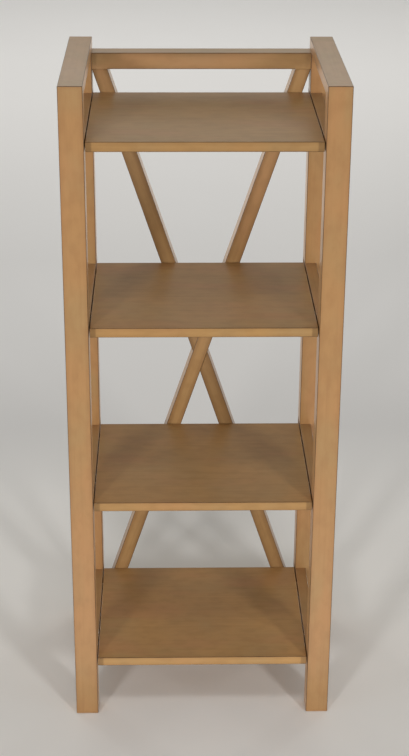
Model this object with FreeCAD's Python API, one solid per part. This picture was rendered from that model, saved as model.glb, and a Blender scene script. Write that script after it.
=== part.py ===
import FreeCAD
import Part

import math
import os

# A four-shelf etagere in lacquered wood. Two ladder frames of square posts and tenoned rails
# carry four dowelled shelf boards; two rear rails hold a crossed, half-lapped brace at the back.
# Millimetres, +Z up. The origin is on the floor under the middle of the footprint,
# the front faces -Y and the left frame is at -X.

# Overall size
WIDTH = 419.0
DEPTH = 326.0
HEIGHT = 1063.0

# Ladder frames
POST_SIZE = 36.0
RAIL_SIZE = 19.0
FOOT_CHAMFER = 2.0
EDGE_EASE = 1.0

# Shelf boards, with each bay measured from shelf top to shelf top
SHELF_THICKNESS = 15.0
SHELF_FRONT_RECESS = 5.0
SHELF_SIDE_GAP = 1.5
SHELF_REAR_GAP = 0.3
BOTTOM_SHELF_HEIGHT = 107.0
LOWER_BAY = 289.0
MIDDLE_BAY = 297.0
TRAY_DEPTH = 82.0

# Rear rails and the crossed brace, flush with the back of the posts
REAR_STOCK_DEPTH = 32.0
REAR_RAIL_HEIGHT = 26.0
REAR_RAIL_FLOOR_GAP = 20.0
BRACE_WIDTH = 23.5
LAP_CLEARANCE = 0.1

# Tenons of the rails and braces, glued in their mortises
TENON_LENGTH = 20.0
BRACE_TENON_LENGTH = 10.0
TENON_SHOULDER = 4.0
MORTISE_CLEARANCE = 0.1
MORTISE_ROOM = 1.0

# Dowels of the shelves, glued in their bores
DOWEL_DIAMETER = 8.0
DOWEL_BOARD_DEPTH = 20.0
DOWEL_RAIL_DEPTH = 12.0
DOWEL_SETBACK = 44.0
BORE_CLEARANCE = 0.1
BORE_ROOM = 1.0

# Cuts run past the faces they open by this much, and tenons into the rails that carry them
OVERRUN = 1.0

# Directions
X_AXIS = FreeCAD.Vector(1, 0, 0)
Y_AXIS = FreeCAD.Vector(0, 1, 0)
Z_AXIS = FreeCAD.Vector(0, 0, 1)
SIDES = {"left": -1, "right": 1}

# Main planes of the frame
OUTER_X = WIDTH / 2
INNER_X = OUTER_X - POST_SIZE
POST_MIDDLE_X = OUTER_X - POST_SIZE / 2
RAIL_OUTER_X = INNER_X + RAIL_SIZE
RAIL_MIDDLE_X = INNER_X + RAIL_SIZE / 2
FRONT_Y = -DEPTH / 2
REAR_Y = DEPTH / 2
FRONT_POST_BACK_Y = FRONT_Y + POST_SIZE
REAR_POST_FRONT_Y = REAR_Y - POST_SIZE
REAR_STOCK_FRONT_Y = REAR_Y - REAR_STOCK_DEPTH
REAR_STOCK_MIDDLE_Y = REAR_Y - REAR_STOCK_DEPTH / 2

# The rear top rail hangs level with the underside of the top side rails
TOP_RAIL_UNDERSIDE = HEIGHT - RAIL_SIZE
REAR_RAIL_BASES = {
    "rear_top_rail": TOP_RAIL_UNDERSIDE - REAR_RAIL_HEIGHT,
    "rear_bottom_rail": REAR_RAIL_FLOOR_GAP,
}
BRACE_TOP = REAR_RAIL_BASES["rear_top_rail"]
BRACE_BASE = REAR_RAIL_BASES["rear_bottom_rail"] + REAR_RAIL_HEIGHT

# Height of each shelf's top face
LOWER_SHELF_HEIGHT = BOTTOM_SHELF_HEIGHT + LOWER_BAY
SHELF_TOPS = {
    "bottom_shelf": BOTTOM_SHELF_HEIGHT,
    "lower_shelf": LOWER_SHELF_HEIGHT,
    "upper_shelf": LOWER_SHELF_HEIGHT + MIDDLE_BAY,
    "top_shelf": HEIGHT - TRAY_DEPTH,
}


def block(corner, opposite):
    """Rectangular solid between two opposite corners, in any order."""
    low = FreeCAD.Vector(*map(min, corner, opposite))
    size = FreeCAD.Vector(*map(max, corner, opposite)) - low
    return Part.makeBox(size.x, size.y, size.z, low)


def runs_along(edge, direction):
    """Tell whether a straight edge is parallel to a direction."""
    along = edge.Vertexes[-1].Point - edge.Vertexes[0].Point
    return math.isclose(abs(along.dot(direction)), along.Length * direction.Length)


def eased_bar(corner, opposite, grain):
    """Bar with its four long arrises rounded and its ends left square for the joints."""
    bar = block(corner, opposite)
    return bar.makeFillet(EDGE_EASE, [edge for edge in bar.Edges if runs_along(edge, grain)])


def post_arrises(post, joint_y):
    """Upright arrises of a post and the top ones, without the top edge that meets the top rail."""
    arrises = []
    for edge in post.Edges:
        middle = edge.CenterOfMass
        on_top = math.isclose(middle.z, HEIGHT)
        at_joint = math.isclose(middle.y, joint_y)
        if runs_along(edge, Z_AXIS) or (on_top and not at_joint):
            arrises.append(edge)
    return arrises


def build_posts(pieces):
    """Four square posts, chamfered at the foot and eased on every arris that shows."""
    ends = {"front": (FRONT_Y, FRONT_POST_BACK_Y), "rear": (REAR_Y, REAR_POST_FRONT_Y)}
    for end, (outer_y, joint_y) in ends.items():
        for side, sign in SIDES.items():
            corner = FreeCAD.Vector(sign * OUTER_X, outer_y, 0)
            post = block(corner, FreeCAD.Vector(sign * INNER_X, joint_y, HEIGHT))
            foot = [edge for edge in post.Edges if edge.BoundBox.ZMax < FOOT_CHAMFER]
            post = post.makeChamfer(FOOT_CHAMFER, foot)
            pieces[f"{end}_{side}_post"] = post.makeFillet(EDGE_EASE, post_arrises(post, joint_y))


def build_side_rails(pieces):
    """Top rails as wide as the posts, and a slimmer rail for each shelf, flush with the inner faces."""
    for side, sign in SIDES.items():
        rails = {f"{side}_top_rail": (OUTER_X, HEIGHT)}
        for shelf, top in SHELF_TOPS.items():
            rails[f"{side}_rail_{shelf}"] = (RAIL_OUTER_X, top)
        for rail, (outer_x, top) in rails.items():
            corner = FreeCAD.Vector(sign * outer_x, FRONT_POST_BACK_Y, top - RAIL_SIZE)
            opposite = FreeCAD.Vector(sign * INNER_X, REAR_POST_FRONT_Y, top)
            pieces[rail] = eased_bar(corner, opposite, Y_AXIS)


def build_shelves(pieces):
    """Shelf boards eased above and below, a shadow gap off the rails, with their backs at the brace."""
    reach_x = INNER_X - SHELF_SIDE_GAP
    front = FRONT_Y + SHELF_FRONT_RECESS
    back = REAR_STOCK_FRONT_Y - SHELF_REAR_GAP
    for shelf, top in SHELF_TOPS.items():
        corner = FreeCAD.Vector(-reach_x, front, top - SHELF_THICKNESS)
        board = block(corner, FreeCAD.Vector(reach_x, back, top))
        rims = [edge for edge in board.Edges if not runs_along(edge, Z_AXIS)]
        pieces[shelf] = board.makeFillet(EDGE_EASE, rims)


def build_rear_rails(pieces):
    """Rear rails between the rear posts, above and below the crossed brace."""
    for rail, base in REAR_RAIL_BASES.items():
        corner = FreeCAD.Vector(-INNER_X, REAR_STOCK_FRONT_Y, base)
        opposite = FreeCAD.Vector(INNER_X, REAR_Y, base + REAR_RAIL_HEIGHT)
        pieces[rail] = eased_bar(corner, opposite, X_AXIS)


def brace_end_width():
    """Width of a brace along its level end cuts, from the lean that fits it corner to corner.

    The lean a satisfies clear_height * sin(a) + BRACE_WIDTH = clear_width * cos(a).
    """
    clear_width = 2 * INNER_X
    clear_height = BRACE_TOP - BRACE_BASE
    diagonal = math.hypot(clear_width, clear_height)
    lean = math.acos(BRACE_WIDTH / diagonal) - math.atan2(clear_height, clear_width)
    return BRACE_WIDTH / math.cos(lean)


def brace_prism(side, front, back, growth=0):
    """Slanted bar from the upper corner on one side to the lower corner on the other.

    Growth widens the bar on both long edges, for the lap cut in its partner.
    """
    sign = SIDES[side]
    outer = INNER_X + growth
    inner = INNER_X - brace_end_width() - growth
    outline = [
        FreeCAD.Vector(sign * outer, front, BRACE_TOP),
        FreeCAD.Vector(sign * inner, front, BRACE_TOP),
        FreeCAD.Vector(-sign * outer, front, BRACE_BASE),
        FreeCAD.Vector(-sign * inner, front, BRACE_BASE),
    ]
    face = Part.Face(Part.makePolygon(outline + outline[:1]))
    return face.extrude(Y_AXIS * (back - front))


def build_braces(pieces):
    """Crossed braces, half-lapped: the one that rises to the right runs through in front."""
    laps = {
        "left": ("right", REAR_STOCK_FRONT_Y - OVERRUN, REAR_STOCK_MIDDLE_Y),
        "right": ("left", REAR_STOCK_MIDDLE_Y, REAR_Y + OVERRUN),
    }
    for side, (partner_side, lap_front, lap_back) in laps.items():
        bar = brace_prism(side, REAR_STOCK_FRONT_Y, REAR_Y)
        end_axes = (X_AXIS, Y_AXIS)
        arrises = [edge for edge in bar.Edges if not any(runs_along(edge, axis) for axis in end_axes)]
        partner = brace_prism(partner_side, lap_front, lap_back, growth=LAP_CLEARANCE)
        pieces[f"brace_rising_{side}"] = bar.makeFillet(EDGE_EASE, arrises).cut(partner)


def tenon_joint(pieces, rail, post, seat, axis, section, length=TENON_LENGTH):
    """Fuse a tenon to the end of a rail and cut the mortise that takes it.

    Seat is the middle of the joint face, the axis points out of the rail into the post,
    and section is the size of the rail across that axis.
    """
    across = FreeCAD.Vector(*(1 if size else 0 for size in section))
    half_tenon = section / 2 - across * TENON_SHOULDER
    half_mortise = half_tenon + across * MORTISE_CLEARANCE
    root = seat - axis * OVERRUN
    tenon = block(root - half_tenon, seat + axis * length + half_tenon)
    mortise = block(root - half_mortise, seat + axis * (length + MORTISE_ROOM) + half_mortise)
    pieces[rail] = pieces[rail].fuse(tenon)
    pieces[post] = pieces[post].cut(mortise)


def join_ladder_frames(pieces):
    """Tenons that hold the side rails and the top rails in the posts."""
    ends = {"front": (FRONT_POST_BACK_Y, Y_AXIS * -1), "rear": (REAR_POST_FRONT_Y, Y_AXIS)}
    for side, sign in SIDES.items():
        rails = {f"{side}_top_rail": (POST_MIDDLE_X, POST_SIZE, HEIGHT)}
        for shelf, top in SHELF_TOPS.items():
            rails[f"{side}_rail_{shelf}"] = (RAIL_MIDDLE_X, RAIL_SIZE, top)
        for rail, (middle_x, rail_width, top) in rails.items():
            section = FreeCAD.Vector(rail_width, 0, RAIL_SIZE)
            for end, (joint_y, outward) in ends.items():
                seat = FreeCAD.Vector(sign * middle_x, joint_y, top - RAIL_SIZE / 2)
                tenon_joint(pieces, rail, f"{end}_{side}_post", seat, outward, section)


def join_rear_frame(pieces):
    """Tenons from the rear rails into the rear posts, and from the brace ends into those rails."""
    end_width = brace_end_width()
    brace_end_x = INNER_X - end_width / 2
    rail_section = FreeCAD.Vector(0, REAR_STOCK_DEPTH, REAR_RAIL_HEIGHT)
    brace_section = FreeCAD.Vector(end_width, REAR_STOCK_DEPTH, 0)
    for side, other in (("left", "right"), ("right", "left")):
        sign = SIDES[side]
        for rail, base in REAR_RAIL_BASES.items():
            seat = FreeCAD.Vector(sign * INNER_X, REAR_STOCK_MIDDLE_Y, base + REAR_RAIL_HEIGHT / 2)
            tenon_joint(pieces, rail, f"rear_{side}_post", seat, X_AXIS * sign, rail_section)
        brace_ends = {
            "rear_top_rail": (f"brace_rising_{side}", BRACE_TOP, Z_AXIS),
            "rear_bottom_rail": (f"brace_rising_{other}", BRACE_BASE, Z_AXIS * -1),
        }
        for rail, (brace, joint_z, outward) in brace_ends.items():
            seat = FreeCAD.Vector(sign * brace_end_x, REAR_STOCK_MIDDLE_Y, joint_z)
            tenon_joint(pieces, brace, rail, seat, outward, brace_section, BRACE_TENON_LENGTH)


def join_shelves(pieces):
    """Two dowels at each end of every shelf, across the gap to its side rails; returns the dowels."""
    dowel_radius = DOWEL_DIAMETER / 2
    bore_length = DOWEL_RAIL_DEPTH + SHELF_SIDE_GAP + DOWEL_BOARD_DEPTH
    dowel_length = bore_length - 2 * BORE_ROOM
    places = (FRONT_POST_BACK_Y + DOWEL_SETBACK, REAR_POST_FRONT_Y - DOWEL_SETBACK)
    dowels = []
    for shelf, top in SHELF_TOPS.items():
        for side, sign in SIDES.items():
            rail = f"{side}_rail_{shelf}"
            inward = X_AXIS * -sign
            for y in places:
                deep_end_x = sign * (INNER_X + DOWEL_RAIL_DEPTH)
                start = FreeCAD.Vector(deep_end_x, y, top - SHELF_THICKNESS / 2)
                bore = Part.makeCylinder(dowel_radius + BORE_CLEARANCE, bore_length, start, inward)
                pieces[rail] = pieces[rail].cut(bore)
                pieces[shelf] = pieces[shelf].cut(bore)
                dowel_start = start + inward * BORE_ROOM
                dowels.append(Part.makeCylinder(dowel_radius, dowel_length, dowel_start, inward))
    return Part.makeCompound(dowels)


def main():
    """Build every piece, join the pieces and write one file for each."""
    pieces = {}
    build_posts(pieces)
    build_side_rails(pieces)
    build_shelves(pieces)
    build_rear_rails(pieces)
    build_braces(pieces)
    join_ladder_frames(pieces)
    join_rear_frame(pieces)
    pieces["shelf_dowels"] = join_shelves(pieces)
    os.makedirs("parts", exist_ok=True)
    for name, shape in pieces.items():
        shape.exportStep(f"parts/{name}.step")


if __name__ == "__main__":
    main()
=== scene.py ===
"""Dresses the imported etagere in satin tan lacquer, in a pale studio seen from the photo's angle."""

import logging
import math
from collections.abc import Iterator
from dataclasses import dataclass, replace
from enum import Enum

import bmesh
import bpy
from mathutils import Euler, Matrix, Vector


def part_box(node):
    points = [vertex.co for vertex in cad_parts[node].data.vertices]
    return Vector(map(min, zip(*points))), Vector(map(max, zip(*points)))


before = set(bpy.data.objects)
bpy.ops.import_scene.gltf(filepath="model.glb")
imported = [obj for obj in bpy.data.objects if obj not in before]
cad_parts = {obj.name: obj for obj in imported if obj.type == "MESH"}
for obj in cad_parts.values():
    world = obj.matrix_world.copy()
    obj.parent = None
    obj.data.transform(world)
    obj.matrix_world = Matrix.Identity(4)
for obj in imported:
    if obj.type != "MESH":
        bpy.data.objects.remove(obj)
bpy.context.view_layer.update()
LOG = logging.getLogger("etagere")

# Longer than half of any piece, in metres.
FAR = 1.0
# Depth under a face that still counts as on it, in metres.
FACE_SKIN = 0.0002
# Half of the length that the painted shadow of a post, at the end of a board's edge, fades over, in metres.
END_FADE = 0.0012
# Shift of the wood's figure from one piece to the next, and its share on each axis.
SEED_STEP = 7.3
SEED_SHARES = (1.0, 1.7, 2.3)
# Places of the sockets on Blender's node that blends colours.
BLEND_AMOUNT = 0
BLEND_FIRST = 6
BLEND_SECOND = 7
BLEND_RESULT = 2
# Angle that the gridded front boxes fan their light out over, in radians.
GRID_FAN = math.radians(70.0)

Colour = tuple[float, float, float]
Point = tuple[float, float, float]
Socket = bpy.types.NodeSocket
Feed = float | Colour | Socket


class Axis(Enum):
    """Direction that a piece's grain runs in, as the index of its own axis."""

    X = 0
    Y = 1
    Z = 2


class Hand(Enum):
    """Side of the etagere seen from the front."""

    LEFT = "left"
    RIGHT = "right"


class End(Enum):
    """End of a side, as the direction from its post to the rails."""

    FRONT = 1.0
    REAR = -1.0


class Level(Enum):
    """Shelf levels from the tray down."""

    TOP = "top"
    UPPER = "upper"
    LOWER = "lower"
    BOTTOM = "bottom"


@dataclass(frozen=True)
class Stretch:
    """Stretch of a bar's face that another piece covers or comes close to.

    Attributes:
        face: Axis that the face looks along.
        side: 1.0 for the face at the high end of that axis, -1.0 for the one at the low end.
        start: Where the stretch starts along the grain, in metres from the bar's middle.
        end: Where it ends.
    """

    face: Axis
    side: float
    start: float
    end: float


@dataclass(frozen=True)
class Bar:
    """Straight piece in its own axes.

    Attributes:
        centre: Middle of what shows of the piece, in metres.
        half: Half of what shows along each of the piece's own axes.
        grain: Axis that the grain runs along.
        lean: Turn of the piece about the depth axis, in radians.
        butted: Whether both ends are closed against other pieces.
        joints: Stretches that other pieces are glued to.
        gaps: Stretches that face another piece across a narrow gap.
    """

    centre: Vector
    half: Vector
    grain: Axis
    lean: float = 0.0
    butted: bool = False
    joints: tuple[Stretch, ...] = ()
    gaps: tuple[Stretch, ...] = ()

    @classmethod
    def of_node(cls, node: str, grain: Axis, tenon: float = 0.0) -> "Bar":
        """Read an upright or level bar from its packed box.

        Args:
            node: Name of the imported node.
            grain: Axis that the grain runs along.
            tenon: Length hidden in a mortise at each end.

        Returns:
            The bar between its shoulders.
        """
        low, high = (Vector(corner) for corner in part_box(node))
        low[grain.value] += tenon
        high[grain.value] -= tenon
        return cls((low + high) / 2, (high - low) / 2, grain, butted=tenon > 0.0)


@dataclass(frozen=True)
class Figure:
    """One layer of a finish's figure, as noise.

    Attributes:
        along: Waves a metre along the grain.
        across: Waves a metre across it.
        octaves: Octaves of finer noise.
        shift: Shift from the piece's own seed.
        start: Noise at which the layer's colour starts to show.
        full: Noise at which it shows most.
        share: Share of the layer's colour where it shows most.
        gloss: Most that the layer changes the roughness, up or down.
        relief: Share of the layer in the relief.
    """

    along: float
    across: float
    octaves: float = 2.0
    shift: float = 0.0
    start: float = 0.0
    full: float = 1.0
    share: float = 1.0
    gloss: float = 0.0
    relief: float = 0.0


Noises = dict[Figure, Socket]


class FinishMix:
    """Node tree of one finish, with short calls that add nodes and link them."""

    def __init__(self, name: str) -> None:
        """Start a material with its shader and output.

        Args:
            name: Name of the material.
        """
        self.material = bpy.data.materials.new(name)
        self.material.use_nodes = True
        self.tree = self.material.node_tree
        self.shader = self.tree.nodes["Principled BSDF"]

    def add(self, kind: str, **settings: object) -> bpy.types.Node:
        """Add a node.

        Args:
            kind: Blender's name of the node type.
            settings: Properties to set on the node.

        Returns:
            The new node.
        """
        node = self.tree.nodes.new(kind)
        for key, value in settings.items():
            setattr(node, key, value)
        return node

    def feed(self, socket: Socket, value: Feed) -> None:
        """Link an input socket, or set its value.

        Args:
            socket: Input to fill.
            value: Output to link from, a number or a colour.
        """
        if isinstance(value, Socket):
            self.tree.links.new(value, socket)
        elif socket.type == "RGBA":
            socket.default_value = (*value, 1.0)
        else:
            socket.default_value = value

    def calc(self, operation: str, first: Feed, second: Feed = 0.0) -> Socket:
        """Join two numbers.

        Args:
            operation: Blender's name of the operation.
            first: First number.
            second: Second number.

        Returns:
            The result.
        """
        node = self.add("ShaderNodeMath", operation=operation)
        self.feed(node.inputs[0], first)
        self.feed(node.inputs[1], second)
        return node.outputs[0]

    def fade(self, value: Feed, start: float, end: float) -> Socket:
        """Ease from 0 at the start to 1 at the end.

        Args:
            value: Number to ease.
            start: Value that gives 0.
            end: Value that gives 1.

        Returns:
            The eased number.
        """
        node = self.add("ShaderNodeMapRange", interpolation_type="SMOOTHSTEP")
        self.feed(node.inputs["Value"], value)
        node.inputs["From Min"].default_value = start
        node.inputs["From Max"].default_value = end
        return node.outputs[0]

    def spread(self, value: Feed, low: float, high: float) -> Socket:
        """Stretch a number that runs from 0 to 1 to another range.

        Args:
            value: Number to stretch.
            low: Result at 0.
            high: Result at 1.

        Returns:
            The stretched number.
        """
        node = self.add("ShaderNodeMapRange", clamp=False)
        self.feed(node.inputs["Value"], value)
        node.inputs["To Min"].default_value = low
        node.inputs["To Max"].default_value = high
        return node.outputs[0]

    def blend(self, amount: Feed, first: Feed, second: Feed) -> Socket:
        """Blend two colours.

        Args:
            amount: Share of the second colour.
            first: First colour.
            second: Second colour.

        Returns:
            The blended colour.
        """
        node = self.add("ShaderNodeMix", data_type="RGBA", blend_type="MIX")
        self.feed(node.inputs[BLEND_AMOUNT], amount)
        self.feed(node.inputs[BLEND_FIRST], first)
        self.feed(node.inputs[BLEND_SECOND], second)
        return node.outputs[BLEND_RESULT]

    def packed_place(self) -> Socket:
        """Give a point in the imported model's frame."""
        return self.add("ShaderNodeTexCoord").outputs["Object"]

    def own_place(self, bar: Bar) -> Socket:
        """Give a point in the bar's own axes, in metres from its middle.

        Args:
            bar: The bar.

        Returns:
            The point.
        """
        turn = self.add("ShaderNodeMapping", vector_type="TEXTURE")
        turn.inputs["Location"].default_value = bar.centre
        turn.inputs["Rotation"].default_value = Euler((0.0, bar.lean, 0.0))
        self.feed(turn.inputs["Vector"], self.packed_place())
        return turn.outputs[0]

    def split(self, place: Socket) -> list[Socket]:
        """Split a point into its places on the three axes.

        Args:
            place: The point.

        Returns:
            The three places.
        """
        node = self.add("ShaderNodeSeparateXYZ")
        self.feed(node.inputs[0], place)
        return list(node.outputs)

    def noise(self, place: Socket, grain: Axis, layer: Figure, seed: float) -> Socket:
        """Add the noise of a layer, stretched along the grain.

        Args:
            place: Point to read the noise at.
            grain: Axis of the grain.
            layer: The layer.
            seed: Shift that sets one piece apart from the next.

        Returns:
            Noise from 0 to 1.
        """
        scale = Vector((layer.across, layer.across, layer.across))
        scale[grain.value] = layer.along
        shift = seed + layer.shift
        stretched = self.add("ShaderNodeMapping")
        stretched.inputs["Location"].default_value = [shift * share for share in SEED_SHARES]
        stretched.inputs["Scale"].default_value = scale
        self.feed(stretched.inputs["Vector"], place)
        node = self.add("ShaderNodeTexNoise")
        node.inputs["Scale"].default_value = 1.0
        node.inputs["Detail"].default_value = layer.octaves
        self.feed(node.inputs["Vector"], stretched.outputs[0])
        return node.outputs[0]

    def shown(self, noise: Socket, layer: Figure) -> Socket:
        """Give the share of a layer's colour that its noise lets show."""
        return self.calc("MULTIPLY", self.fade(noise, layer.start, layer.full), layer.share)

    def arris_distance(self, place: Socket, bar: Bar) -> Socket:
        """Measure how far a point on a bar is from the nearest open arris.

        Args:
            place: Point in the bar's own axes.
            bar: The bar.

        Returns:
            The distance in metres: the middle one of the three distances to the bar's faces.
        """
        depths = []
        for axis, offset in zip(Axis, self.split(place)):
            depth = self.calc("SUBTRACT", bar.half[axis.value], self.calc("ABSOLUTE", offset))
            if axis is bar.grain and bar.butted:
                depth = self.calc("ADD", depth, FAR)
            for joint in bar.joints:
                if joint.face is axis:
                    covered = self.on_stretch(place, bar.grain, joint, 0.0)
                    depth = self.calc("ADD", depth, self.calc("MULTIPLY", covered, FAR))
            depths.append(depth)
        lower = self.calc("MINIMUM", depths[0], depths[1])
        upper = self.calc("MAXIMUM", depths[0], depths[1])
        return self.calc("MAXIMUM", lower, self.calc("MINIMUM", upper, depths[2]))

    def on_stretch(self, place: Socket, grain: Axis, stretch: Stretch, beyond: float) -> Socket:
        """Mark the points of a stretch.

        Args:
            place: Point in the bar's own axes.
            grain: Axis of the bar's grain.
            stretch: The stretch.
            beyond: Distance from the bar's middle, towards the face, that marked points lie beyond.

        Returns:
            1 on the stretch and 0 elsewhere.
        """
        places = self.split(place)
        outward = self.calc("MULTIPLY", places[stretch.face.value], stretch.side)
        along = places[grain.value]
        marked = self.calc("GREATER_THAN", outward, beyond)
        marked = self.calc("MULTIPLY", marked, self.calc("GREATER_THAN", along, stretch.start))
        return self.calc("MULTIPLY", marked, self.calc("LESS_THAN", along, stretch.end))

    def shut_in(self, place: Socket, bar: Bar) -> Feed:
        """Mark the faces that look into a narrow gap.

        Args:
            place: Point in the bar's own axes.
            bar: The bar.

        Returns:
            1 on those faces and 0 elsewhere.
        """
        marked: Feed = 0.0
        for gap in bar.gaps:
            face = bar.half[gap.face.value] - FACE_SKIN
            marked = self.calc("MAXIMUM", self.on_stretch(place, bar.grain, gap, face), marked)
        return marked

    def edge_ends(self, place: Socket, bar: Bar, length: float) -> Feed:
        """Mark the ends of the long edges of a board that stands between two gaps, where the posts' shadow
        is painted.

        Args:
            place: Point in the bar's own axes.
            bar: The bar.
            length: Length of the marked ends.

        Returns:
            1 at the ends of a board's front and rear edges and 0 elsewhere.
        """
        if bar.grain is not Axis.X or not bar.gaps:
            return 0.0
        places = self.split(place)
        along = self.calc("ABSOLUTE", places[Axis.X.value])
        across = self.calc("ABSOLUTE", places[Axis.Y.value])
        on_edge = self.calc("GREATER_THAN", across, bar.half.y - FACE_SKIN)
        start = bar.half.x - length
        reach = self.fade(along, start - END_FADE, start + END_FADE)
        return self.calc("MULTIPLY", on_edge, reach)


@dataclass(frozen=True)
class SatinLacquer:
    """Satin tan lacquer over wood, wiped with a brown glaze that stays on the arrises.

    Attributes:
        tan: Main colour.
        umber: Colour of the darker streaks, pores and spots, and of the shade beside the arrises.
        olive: Colour of the greyer clouds.
        russet: Colour of the redder patches.
        glaze: Colour of the glaze on the arrises, and of the painted post shadow at the ends of a board's
            edges.
        gap_shade: Colour of the painted shade on the faces that look into narrow gaps.
        arris: Width of the glazed arris, in metres.
        arris_share: Strength of the glaze on it.
        fray: Distance that the grain frays the glaze by, in metres.
        blush: Width of the softer shade beside the arris.
        blush_share: Strength of that shade.
        wiped: Share of the glaze that is left where it was wiped most.
        wipe_start: Noise of the clouds where the glaze was wiped most.
        wipe_end: Noise of the clouds where it was left on.
        end_shade: Length of the painted post shadow at each end of a board's long edges.
        end_share: Strength of that painted shadow, in the glaze's colour.
        clouds: Greyer clouds.
        streaks: Streaks of the grain.
        pores: Pores of the grain.
        patches: Redder patches.
        mottle: Small uneven spots.
        peel: Fine even bumps of sprayed lacquer.
        relief_strength: Strength of the relief.
        relief_depth: Depth of the relief, in metres.
        shine: Strength of the lacquer's mirror light, 0.5 for plain varnish.
        roughness: Middle roughness of the lacquer.
        recess_roughness: Roughness that the faces in narrow gaps have on top of that.
        coat: Share of the clear top coat.
        coat_roughness: Roughness of the clear top coat.
    """

    tan: Colour = (0.39, 0.208, 0.081)
    umber: Colour = (0.285, 0.138, 0.051)
    olive: Colour = (0.345, 0.214, 0.089)
    russet: Colour = (0.405, 0.203, 0.080)
    glaze: Colour = (0.078, 0.034, 0.006)
    gap_shade: Colour = (0.21, 0.090, 0.014)
    arris: float = 0.0012
    arris_share: float = 0.95
    fray: float = 0.0002
    blush: float = 0.008
    blush_share: float = 0.35
    wiped: float = 0.75
    wipe_start: float = 0.3
    wipe_end: float = 0.7
    end_shade: float = 0.009
    end_share: float = 0.35
    clouds: Figure = Figure(11.0, 11.0, shift=3.0, start=0.35, full=0.75, share=0.7, gloss=0.05)
    streaks: Figure = Figure(5.0, 190.0, 3.0, start=0.45, full=0.85, share=0.4, gloss=0.04, relief=0.2)
    pores: Figure = Figure(45.0, 1500.0, 1.0, start=0.58, full=0.8, share=0.3, relief=0.2)
    patches: Figure = Figure(6.0, 22.0, shift=5.0, start=0.45, full=0.7, share=0.7)
    mottle: Figure = Figure(38.0, 75.0, 3.0, shift=8.0, start=0.4, full=0.7, share=0.3)
    peel: Figure = Figure(650.0, 650.0, 1.0, relief=0.12)
    relief_strength: float = 0.2
    relief_depth: float = 0.0002
    shine: float = 0.5
    roughness: float = 0.32
    recess_roughness: float = 0.5
    coat: float = 0.1
    coat_roughness: float = 0.28

    def toned(self, tone: float) -> "SatinLacquer":
        """Give the same finish with lighter or darker colours, as painted light and shade.

        Args:
            tone: Share of the colours' strength.

        Returns:
            The toned finish.
        """
        colours = {"tan": self.tan, "umber": self.umber, "olive": self.olive, "russet": self.russet}
        scaled = {name: tuple(part * tone for part in colour) for name, colour in colours.items()}
        return replace(self, **scaled)

    def make(self, name: str, bar: Bar, seed: float) -> bpy.types.Material:
        """Make the finish for one bar.

        Args:
            name: Name of the piece.
            bar: The piece in its own axes.
            seed: Shift that sets this piece's grain apart.

        Returns:
            The material.
        """
        mix = FinishMix(f"satin_lacquer_{name}")
        place = mix.own_place(bar)
        layers = (self.clouds, self.streaks, self.pores, self.patches, self.mottle, self.peel)
        noises = {layer: mix.noise(place, bar.grain, layer, seed) for layer in layers}
        line, shade = self.glazing(mix, mix.arris_distance(place, bar), noises)
        ends = mix.edge_ends(place, bar, self.end_shade)
        inside = mix.shut_in(place, bar)
        colour = self.colouring(mix, noises)
        colour = mix.blend(mix.calc("MULTIPLY", shade, self.blush_share), colour, self.umber)
        colour = mix.blend(mix.calc("MULTIPLY", line, self.arris_share), colour, self.glaze)
        # Painted shadow of the posts, in the glaze's colour, at the ends of a board's long edges.
        colour = mix.blend(mix.calc("MULTIPLY", ends, self.end_share), colour, self.glaze)
        # Painted shade on the faces that look into narrow gaps.
        colour = mix.blend(inside, colour, self.gap_shade)
        mix.feed(mix.shader.inputs["Base Color"], colour)
        gap_dulling = mix.calc("MULTIPLY", inside, self.recess_roughness)
        self.surfacing(mix, mix.calc("ADD", self.roughness, gap_dulling), noises)
        return mix.material

    def glazing(self, mix: FinishMix, edge: Socket, noises: Noises) -> tuple[Socket, Socket]:
        """Place the glaze along the arrises.

        Args:
            mix: Tree to add to.
            edge: Distance to the nearest arris.
            noises: Noise of each layer: the clouds break the glaze up, and the streaks fray it.

        Returns:
            Share of the sharp line and share of the soft shade beside it.
        """
        frayed = mix.spread(noises[self.streaks], -self.fray, self.fray)
        reach = mix.calc("ADD", edge, frayed)
        full = self.arris / 2
        line = mix.calc("SUBTRACT", 1.0, mix.fade(reach, full, self.arris))
        soft = mix.calc("SUBTRACT", 1.0, mix.fade(reach, full, self.blush))
        left_on = mix.fade(noises[self.clouds], self.wipe_start, self.wipe_end)
        left = mix.spread(left_on, self.wiped, 1.0)
        return mix.calc("MULTIPLY", line, left), mix.calc("MULTIPLY", soft, left)

    def colouring(self, mix: FinishMix, noises: Noises) -> Socket:
        """Mix the lacquer's colour over the open faces, one layer over the other.

        Args:
            mix: Tree to add to.
            noises: Noise of each layer.

        Returns:
            The colour.
        """
        tints = {
            self.clouds: self.olive,
            self.streaks: self.umber,
            self.pores: self.umber,
            self.patches: self.russet,
            self.mottle: self.umber,
        }
        colour: Feed = self.tan
        for layer, tint in tints.items():
            colour = mix.blend(mix.shown(noises[layer], layer), colour, tint)
        return colour

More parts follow.
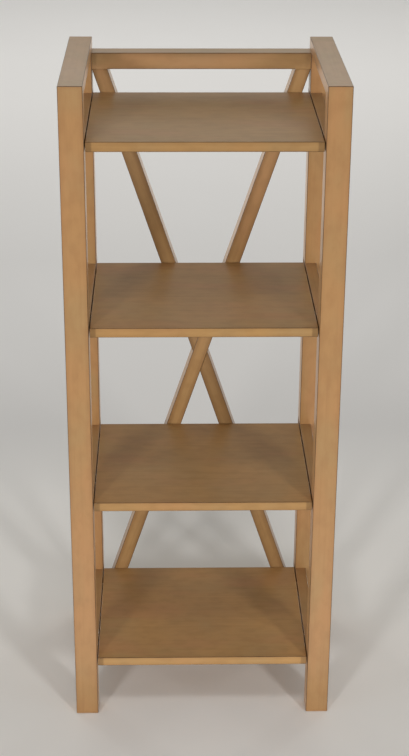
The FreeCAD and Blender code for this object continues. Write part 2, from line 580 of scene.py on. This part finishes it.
    def surfacing(self, mix: FinishMix, gloss: Socket, noises: Noises) -> None:
        """Set gloss and relief.

        Args:
            mix: Tree to add to.
            gloss: Middle roughness.
            noises: Noise of each layer.
        """
        for layer in (self.clouds, self.streaks):
            gloss = mix.calc("ADD", gloss, mix.spread(noises[layer], -layer.gloss, layer.gloss))
        shader = mix.shader
        mix.feed(shader.inputs["Roughness"], gloss)
        shader.inputs["Specular IOR Level"].default_value = self.shine
        shader.inputs["Coat Weight"].default_value = self.coat
        shader.inputs["Coat Roughness"].default_value = self.coat_roughness
        raised = mix.calc("MULTIPLY", noises[self.streaks], self.streaks.relief)
        sprayed = mix.calc("MULTIPLY", noises[self.peel], self.peel.relief)
        opened = mix.fade(noises[self.pores], self.pores.start, self.pores.full)
        sunk = mix.calc("MULTIPLY", opened, self.pores.relief)
        bump = mix.add("ShaderNodeBump")
        bump.inputs["Strength"].default_value = self.relief_strength
        bump.inputs["Distance"].default_value = self.relief_depth
        mix.feed(bump.inputs["Height"], mix.calc("SUBTRACT", mix.calc("ADD", raised, sprayed), sunk))
        mix.feed(shader.inputs["Normal"], bump.outputs[0])


@dataclass(frozen=True)
class BareBeech:
    """Bare turned beech of the hidden dowels.

    Attributes:
        pale: Main colour.
        fleck: Colour of the short flecks.
        flecks: The flecks.
        roughness: Middle roughness.
    """

    pale: Colour = (0.60, 0.42, 0.24)
    fleck: Colour = (0.38, 0.23, 0.11)
    flecks: Figure = Figure(160.0, 1100.0, start=0.5, full=0.72, gloss=0.08)
    roughness: float = 0.6

    def make(self, name: str, bar: Bar, seed: float) -> bpy.types.Material:
        """Make the finish for the dowels.

        Args:
            name: Name of the piece.
            bar: The dowels in their own axes.
            seed: Shift of the grain.

        Returns:
            The material.
        """
        mix = FinishMix(f"bare_beech_{name}")
        noise = mix.noise(mix.own_place(bar), bar.grain, self.flecks, seed)
        colour = mix.blend(mix.shown(noise, self.flecks), self.pale, self.fleck)
        mix.feed(mix.shader.inputs["Base Color"], colour)
        low, high = self.roughness - self.flecks.gloss, self.roughness + self.flecks.gloss
        mix.feed(mix.shader.inputs["Roughness"], mix.spread(noise, low, high))
        return mix.material


FRAME_LACQUER = SatinLacquer()
BOARD_LACQUER = SatinLacquer(
    tan=(0.395, 0.219, 0.077),
    umber=(0.27, 0.142, 0.047),
    russet=(0.40, 0.203, 0.080),
    shine=0.35,
    roughness=0.42,
)
REAR_LACQUER = SatinLacquer(
    tan=(0.385, 0.226, 0.094),
    umber=(0.28, 0.149, 0.060),
    olive=(0.345, 0.222, 0.104),
    russet=(0.40, 0.214, 0.098),
    arris=0.0014,
)
BRACE_LACQUER = SatinLacquer(
    tan=(0.375, 0.215, 0.085),
    umber=(0.235, 0.122, 0.046),
    olive=(0.355, 0.215, 0.092),
    russet=(0.37, 0.192, 0.082),
    blush=0.0095,
    blush_share=0.8,
)


def dress_node(node: str, finish: SatinLacquer | BareBeech, bar: Bar) -> str:
    """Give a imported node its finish.

    Args:
        node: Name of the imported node.
        finish: Finish that it takes.
        bar: The node in its own axes.

    Returns:
        The node's name.
    """
    seed = SEED_STEP * (1 + sorted(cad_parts).index(node))
    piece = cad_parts[node]
    piece.material_slots[0].material = finish.make(node, bar, seed)
    return node


@dataclass
class LadderFrame:
    """One glued side: two posts, a top rail and a slim rail at each shelf.

    Attributes:
        hand: Side of the etagere.
        tenon: Length of a rail's tenon in a post.
        finish: Finish of the frame.
    """

    hand: Hand
    tenon: float = 0.020
    finish: SatinLacquer = FRAME_LACQUER

    def dress(self) -> Iterator[str]:
        """Dress the posts and rails.

        Returns:
            The name of each piece once it is dressed.
        """
        side = self.hand.value
        for end in End:
            post = f"{end.name.lower()}_{side}_post"
            yield dress_node(post, self.finish, self.post_bar(post, end))
        top_rail = f"{side}_top_rail"
        yield dress_node(top_rail, self.finish, Bar.of_node(top_rail, Axis.Y, self.tenon))
        gap = Stretch(Axis.X, self.inward(), -FAR, FAR)
        for level in Level:
            rail = f"{side}_rail_{level.value}_shelf"
            bar = Bar.of_node(rail, Axis.Y, self.tenon)
            yield dress_node(rail, self.finish, replace(bar, joints=(gap,), gaps=(gap,)))

    def inward(self) -> float:
        """Give the direction from this side to the shelves."""
        return 1.0 if self.hand is Hand.LEFT else -1.0

    def post_bar(self, post: str, end: End) -> Bar:
        """Read a post, with its flush joint to the top rail and its gaps to the shelves.

        Args:
            post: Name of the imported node.
            end: End of the side that it stands at.

        Returns:
            The post.
        """
        bar = Bar.of_node(post, Axis.Z)
        rail_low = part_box(f"{self.hand.value}_top_rail")[0][Axis.Z.value]
        flush = Stretch(Axis.Y, end.value, rail_low - bar.centre.z, FAR)
        gaps = []
        for level in Level:
            low, high = (corner[Axis.Z.value] - bar.centre.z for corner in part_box(f"{level.value}_shelf"))
            gaps.append(Stretch(Axis.X, self.inward(), low, high))
        return replace(bar, joints=(flush,), gaps=tuple(gaps))


@dataclass
class ShelfStack:
    """The four boards and the dowels that hold them to the side rails.

    Attributes:
        tray_tone: Tone of the top board, darkened as painted shade against the stronger light and
            reflection that it gets.
        middle_tone: Tone of the boards between, slightly darkened as painted shade.
        lowest_tone: Tone of the bottom board, lightened as painted light for the light that it lacks.
        finish: Finish of the boards.
        dowel_finish: Finish of the dowels.
    """

    tray_tone: float = 0.92
    middle_tone: float = 0.98
    lowest_tone: float = 1.09
    finish: SatinLacquer = BOARD_LACQUER
    dowel_finish: BareBeech = BareBeech()

    def dress(self) -> Iterator[str]:
        """Dress the boards and the dowels.

        Returns:
            The name of each piece once it is dressed.
        """
        gaps = tuple(Stretch(Axis.X, side, -FAR, FAR) for side in (-1.0, 1.0))
        # Lighter and darker copies of the board finish: painted light and shade that even out how the four
        # shelves are lit.
        tones = {Level.TOP: self.tray_tone, Level.BOTTOM: self.lowest_tone}
        for level in Level:
            board = f"{level.value}_shelf"
            bar = replace(Bar.of_node(board, Axis.X), butted=True, gaps=gaps)
            finish = self.finish.toned(tones.get(level, self.middle_tone))
            yield dress_node(board, finish, bar)
        yield dress_node("shelf_dowels", self.dowel_finish, Bar.of_node("shelf_dowels", Axis.X))


@dataclass
class BackBrace:
    """The rear rails and the crossed brace between them.

    Attributes:
        rail_tenon: Length of a rear rail's tenon in a post.
        brace_tenon: Length of a brace's tenon in a rail.
        brace_width: Width of a brace square to its length.
        shaded_tone: Tone of the brace that passes behind at the lap, darkened as painted shade for the
            shadow that falls on it.
        finish: Finish of the rear rails.
        brace_finish: Finish of the braces.
    """

    rail_tenon: float = 0.020
    brace_tenon: float = 0.010
    brace_width: float = 0.0235
    shaded_tone: float = 0.83
    finish: SatinLacquer = REAR_LACQUER
    brace_finish: SatinLacquer = BRACE_LACQUER

    def dress(self) -> Iterator[str]:
        """Dress the rear rails and the braces.

        Returns:
            The name of each piece once it is dressed.
        """
        braces = {hand: self.brace_bar(hand) for hand in Hand}
        for rail, side in (("rear_top_rail", -1.0), ("rear_bottom_rail", 1.0)):
            bar = Bar.of_node(rail, Axis.X, self.rail_tenon)
            joints = tuple(self.brace_end(bar, brace, side) for brace in braces.values())
            yield dress_node(rail, self.finish, replace(bar, joints=joints))
        for hand, brace in braces.items():
            # The brace that passes behind at the lap takes a darker copy of its finish: painted shade.
            tone = self.shaded_tone if hand is Hand.LEFT else 1.0
            yield dress_node(f"brace_rising_{hand.value}", self.brace_finish.toned(tone), brace)

    def brace_end(self, rail: Bar, brace: Bar, side: float) -> Stretch:
        """Find the stretch of a rear rail that a brace ends on.

        Args:
            rail: The rear rail.
            brace: The brace.
            side: 1.0 where the brace stands on the rail, -1.0 where it ends under it.

        Returns:
            The stretch.
        """
        rise = rail.centre.z + side * rail.half.z - brace.centre.z
        middle = brace.centre.x + math.tan(brace.lean) * rise - rail.centre.x
        reach = brace.half.x / math.cos(brace.lean)
        return Stretch(Axis.Z, side, middle - reach, middle + reach)

    def brace_bar(self, hand: Hand) -> Bar:
        """Find a brace's own axes from its packed box.

        Args:
            hand: Side that its upper end is on.

        Returns:
            The brace between its shoulders.
        """
        upright = Bar.of_node(f"brace_rising_{hand.value}", Axis.Z, self.brace_tenon)
        wide, tall = 2 * upright.half.x, 2 * upright.half.z
        lean = math.acos(self.brace_width / math.hypot(wide, tall)) - math.atan2(tall, wide)
        half = Vector((self.brace_width / 2, upright.half.y, upright.half.z / math.cos(lean)))
        if hand is Hand.LEFT:
            lean = -lean
        return replace(upright, half=half, lean=lean)


@dataclass(frozen=True)
class PaleFloor:
    """Matt pale studio paper.

    Attributes:
        paper: Main colour.
        worn: Colour of faint scuffs.
        scuffs: The scuffs.
        roughness: Roughness of the paper.
    """

    paper: Colour = (0.88, 0.862, 0.83)
    worn: Colour = (0.85, 0.832, 0.80)
    scuffs: Figure = Figure(1.3, 1.3, 4.0, shift=2.0)
    roughness: float = 0.9

    def make(self) -> bpy.types.Material:
        """Make the paper.

        Returns:
            The material.
        """
        mix = FinishMix("pale_paper")
        noise = mix.noise(mix.packed_place(), Axis.X, self.scuffs, 0.0)
        mix.feed(mix.shader.inputs["Base Color"], mix.blend(noise, self.paper, self.worn))
        mix.shader.inputs["Roughness"].default_value = self.roughness
        return mix.material


@dataclass(frozen=True)
class SoftBox:
    """Rectangular soft light aimed at a point.

    Attributes:
        name: Name of the light.
        place: Where it hangs, in metres.
        aim: Point that it faces.
        width: Width of its face.
        height: Height of its face.
        power: Power in watts.
        tint: Colour of the light.
        fan: Angle that its light fans out over, in radians.
    """

    name: str
    place: Point
    aim: Point
    width: float
    height: float
    power: float
    tint: Colour = (1.0, 1.0, 1.0)
    fan: float = math.pi

    def hang(self) -> None:
        """Hang the light where it belongs, out of the camera's sight."""
        light = bpy.data.lights.new(self.name, "AREA")
        light.shape = "RECTANGLE"
        light.size = self.width
        light.size_y = self.height
        light.energy = self.power
        light.color = self.tint
        light.spread = self.fan
        lamp = bpy.data.objects.new(self.name, light)
        lamp.location = self.place
        away = Vector(self.place) - Vector(self.aim)
        lamp.rotation_euler = away.to_track_quat("Z", "Y").to_euler()
        lamp.visible_camera = False
        bpy.context.scene.collection.objects.link(lamp)


@dataclass(frozen=True)
class FarLamp:
    """Distant soft lamp that lights the whole floor evenly.

    Attributes:
        name: Name of the lamp.
        bearing: Degrees from the front, towards the right.
        rise: Degrees above the floor.
        spread: Degrees that its face spans.
        power: Power in watts a square metre.
    """

    name: str
    bearing: float
    rise: float
    spread: float
    power: float

    def hang(self) -> None:
        """Turn the lamp towards the etagere."""
        light = bpy.data.lights.new(self.name, "SUN")
        light.energy = self.power
        light.angle = math.radians(self.spread)
        lamp = bpy.data.objects.new(self.name, light)
        lamp.rotation_euler = (math.radians(90.0 - self.rise), 0.0, math.radians(self.bearing))
        bpy.context.scene.collection.objects.link(lamp)


@dataclass
class Studio:
    """Pale floor, soft lights and an even fill.

    Attributes:
        reach: Half size of the floor.
        panels: Panels along each side of the floor.
        finish: Finish of the floor.
        fill: Colour of the even fill light.
        fill_power: Strength of the even fill light.
        lights: Soft lights round the etagere.
    """

    reach: float = 40.0
    panels: int = 8
    finish: PaleFloor = PaleFloor()
    fill: Colour = (1.0, 0.99, 0.97)
    fill_power: float = 0.2
    lights: tuple[SoftBox | FarLamp, ...] = (
        FarLamp("outer_left", bearing=-64.0, rise=1.2, spread=4.0, power=1.2),
        FarLamp("outer_right", bearing=67.0, rise=1.2, spread=4.0, power=1.02),
        FarLamp("rear_left", bearing=-140.0, rise=5.0, spread=6.0, power=0.5),
        FarLamp("rear_right", bearing=140.0, rise=5.0, spread=6.0, power=0.5),
        FarLamp("overhead", bearing=0.0, rise=65.0, spread=10.0, power=0.37),
        SoftBox(
            "front_left", place=(-1.46, -3.29, 1.7), aim=(0.0, 0.0, 0.8),
            width=0.4, height=0.4, power=5.9, fan=GRID_FAN,
        ),
        SoftBox(
            "front_right", place=(1.69, -3.18, 1.7), aim=(0.0, 0.0, 0.2),
            width=0.4, height=0.4, power=5.2, fan=GRID_FAN,
        ),
        SoftBox(
            "floor_bounce", place=(0.0, -0.55, 0.01), aim=(0.0, -0.55, 1.0),
            width=1.2, height=0.6, power=1.0,
        ),
        SoftBox(
            "high_card", place=(0.0, 0.95, 1.85), aim=(0.0, 0.0, 1.85),
            width=2.8, height=1.1, power=9.0, tint=(1.0, 0.98, 0.86),
        ),
        SoftBox(
            "low_card", place=(0.0, 0.95, 0.9), aim=(0.0, 0.0, 0.9),
            width=2.8, height=0.8, power=1.5, tint=(1.0, 0.97, 0.84),
        ),
        SoftBox(
            "near_wash", place=(0.0, 1.2, 2.6), aim=(0.0, 5.2, 0.7),
            width=4.0, height=0.6, power=37.0,
        ),
        SoftBox(
            "far_wash", place=(0.0, 3.6, 3.2), aim=(0.0, 8.0, 1.1),
            width=6.0, height=0.6, power=82.0,
        ),
    )

    def build(self) -> None:
        """Lay the floor, hang the lights and set the fill."""
        self.lay_floor()
        for light in self.lights:
            light.hang()
        world = bpy.data.worlds.new("studio_fill")
        world.use_nodes = True
        sky = world.node_tree.nodes["Background"]
        sky.inputs["Color"].default_value = (*self.fill, 1.0)
        sky.inputs["Strength"].default_value = self.fill_power
        bpy.context.scene.world = world

    def lay_floor(self) -> None:
        """Make the floor as one flat sheet."""
        mesh = bpy.data.meshes.new("studio_floor")
        sheet = bmesh.new()
        bmesh.ops.create_grid(sheet, x_segments=self.panels, y_segments=self.panels, size=self.reach)
        sheet.to_mesh(mesh)
        sheet.free()
        mesh.materials.append(self.finish.make())
        floor = bpy.data.objects.new("studio_floor", mesh)
        bpy.context.scene.collection.objects.link(floor)


@dataclass
class PhotoCamera:
    """Camera at the photo's viewing angle, for a picture of 409 by 756.

    Attributes:
        place: Where the camera stands, in metres.
        pitch: Radians that it looks down.
        turn: Radians that it looks to the right.
        roll: Radians that it is turned about its own axis.
        focal: Focal length in pixels of that picture.
        tall: Height of that picture in pixels.
        sensor: Size of the sensor's long side in millimetres.
    """

    place: Point = (-0.05181, -2.43047, 1.62284)
    pitch: float = 0.4188
    turn: float = 0.0232
    roll: float = 0.0056
    focal: float = 1632.49
    tall: float = 756.0
    sensor: float = 36.0

    def stand(self) -> None:
        """Stand the camera, make it the scene's and print without a film curve."""
        data = bpy.data.cameras.new("photo_camera")
        data.sensor_width = self.sensor
        data.lens = self.focal / self.tall * self.sensor
        camera = bpy.data.objects.new("photo_camera", data)
        aim = Matrix.Rotation(-self.turn, 4, "Z")
        tip = Matrix.Rotation(math.pi / 2 - self.pitch, 4, "X")
        twist = Matrix.Rotation(self.roll, 4, "Z")
        camera.matrix_world = Matrix.Translation(Vector(self.place)) @ aim @ tip @ twist
        bpy.context.scene.collection.objects.link(camera)
        bpy.context.scene.camera = camera
        bpy.context.scene.view_settings.view_transform = "Standard"


def main() -> None:
    """Stand the camera, set up the studio and dress each sub-assembly in order."""
    logging.basicConfig(level=logging.INFO, format="%(name)s: %(message)s")
    PhotoCamera().stand()
    Studio().build()
    assemblies = (LadderFrame(Hand.LEFT), LadderFrame(Hand.RIGHT), ShelfStack(), BackBrace())
    for assembly in assemblies:
        for piece in assembly.dress():
            LOG.info("dressed %s", piece)


if __name__ == "__main__":
    main()
